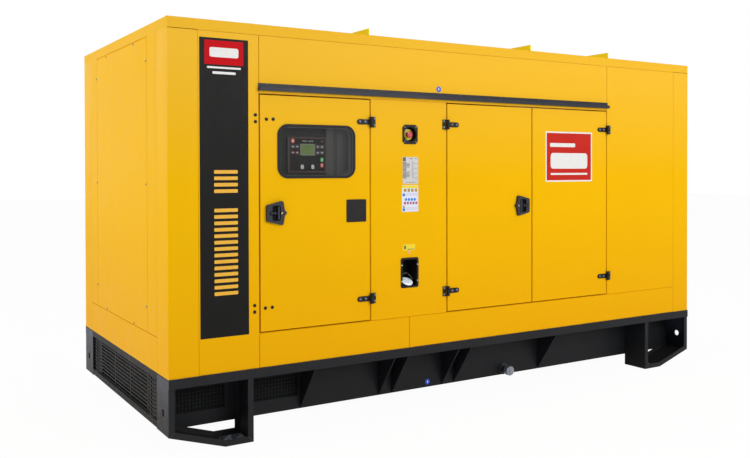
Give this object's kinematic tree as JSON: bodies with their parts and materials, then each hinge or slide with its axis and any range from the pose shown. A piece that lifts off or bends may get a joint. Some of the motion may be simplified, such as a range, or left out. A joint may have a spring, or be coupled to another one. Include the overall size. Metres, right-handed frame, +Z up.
{
  "type": "diesel generator",
  "caption": "Enclosed diesel generating set: yellow soundproof canopy with opening side doors, control window, stop button and fuel filler on a black louvred skid.",
  "frame": {"origin": "middle of the bounding box at floor level", "axes": "+X along the length, towards the radiator end; -Y towards the control door side; +Z up"},
  "size_m": [4, 1.823, 2.268],
  "materials": {
    "canopy_yellow": "satin powder coat",
    "skid_black": "satin powder coat",
    "fitting_black": "matte",
    "drip_rail_grey": "satin",
    "gasket_rubber": "matte",
    "window_glass": "clear, dark behind",
    "bright_metal": "polished",
    "stop_red": "gloss",
    "controller_grey": "matte",
    "cabinet_grey": "satin",
    "engine_grey": "painted casting",
    "alternator_grey": "satin",
    "radiator_black": "satin",
    "silencer_steel": "dull",
    "filter_black": "matte"
  },
  "bodies": {
    "set": {"skid_top_rails": "skid_black", "skid_webs": "skid_black", "skid_gussets": "skid_black", "foot_end_plates": "skid_black", "foot_soles": "skid_black", "foot_frames": "skid_black", "skid_end_louvres": "skid_black", "intake_meshes": "skid_black", "cross_beams": "skid_black", "base_tank": "skid_black", "tank_coupling": "bright_metal", "corner_posts": "canopy_yellow", "end_walls": "canopy_yellow", "front_panels": "canopy_yellow", "service_panel": "canopy_yellow", "front_header": "canopy_yellow", "front_sill": "canopy_yellow", "back_wall": "canopy_yellow", "roof": "canopy_yellow", "roof_outlet_grille": "skid_black", "drip_rails": "drip_rail_grey", "hinge_leaves": "fitting_black", "back_fittings": "fitting_black", "stop_housing": "fitting_black", "filler_recess": "fitting_black", "filler_cap": "bright_metal", "control_cabinet": "cabinet_grey", "controller": "controller_grey", "unit_rails": "skid_black", "engine": "engine_grey", "alternator": "alternator_grey", "radiator": "radiator_black", "silencer": "silencer_steel", "air_filter": "filter_black"},
    "door_1": {"door_1_leaf": "canopy_yellow", "door_1_straps": "fitting_black", "door_1_cover": "fitting_black", "window_gasket": "gasket_rubber", "window_glass": "window_glass", "latch_1_dish": "fitting_black"},
    "door_2": {"door_2_leaf": "canopy_yellow", "door_2_straps": "fitting_black", "latch_2_dish": "fitting_black"},
    "door_3": {"door_3_leaf": "canopy_yellow", "door_3_straps": "fitting_black"},
    "latch_1": {"latch_1_lever": "fitting_black"},
    "latch_2": {"latch_2_lever": "fitting_black"},
    "stop": {"stop_button": "stop_red"}
  },
  "joints": [
    {"name": "door_1_hinge", "type": "hinge", "parent": "set", "child": "door_1", "pos_m": [-0.803, -0.9005, 1.2], "axis": [0, 0, 1], "range_deg": [0, 105]},
    {"name": "door_2_hinge", "type": "hinge", "parent": "set", "child": "door_2", "pos_m": [-0.251, -0.9005, 1.2], "axis": [0, 0, -1], "range_deg": [0, 105]},
    {"name": "door_3_hinge", "type": "hinge", "parent": "set", "child": "door_3", "pos_m": [1.135, -0.9005, 1.2], "axis": [0, 0, 1], "range_deg": [0, 105]},
    {"name": "latch_1_pull", "type": "hinge", "parent": "door_1", "child": "latch_1", "pos_m": [-1.434, -0.9015, 1.2185], "axis": [0, 0, -1], "range_deg": [0, 35]},
    {"name": "latch_2_pull", "type": "hinge", "parent": "door_2", "child": "latch_2", "pos_m": [0.38, -0.9015, 1.2185], "axis": [0, 0, 1], "range_deg": [0, 35]},
    {"name": "stop_press", "type": "slide", "parent": "set", "child": "stop", "axis": [0, 1, 0], "range_m": [0, 0.006], "stiffness_N_per_m": 900}
  ]
}
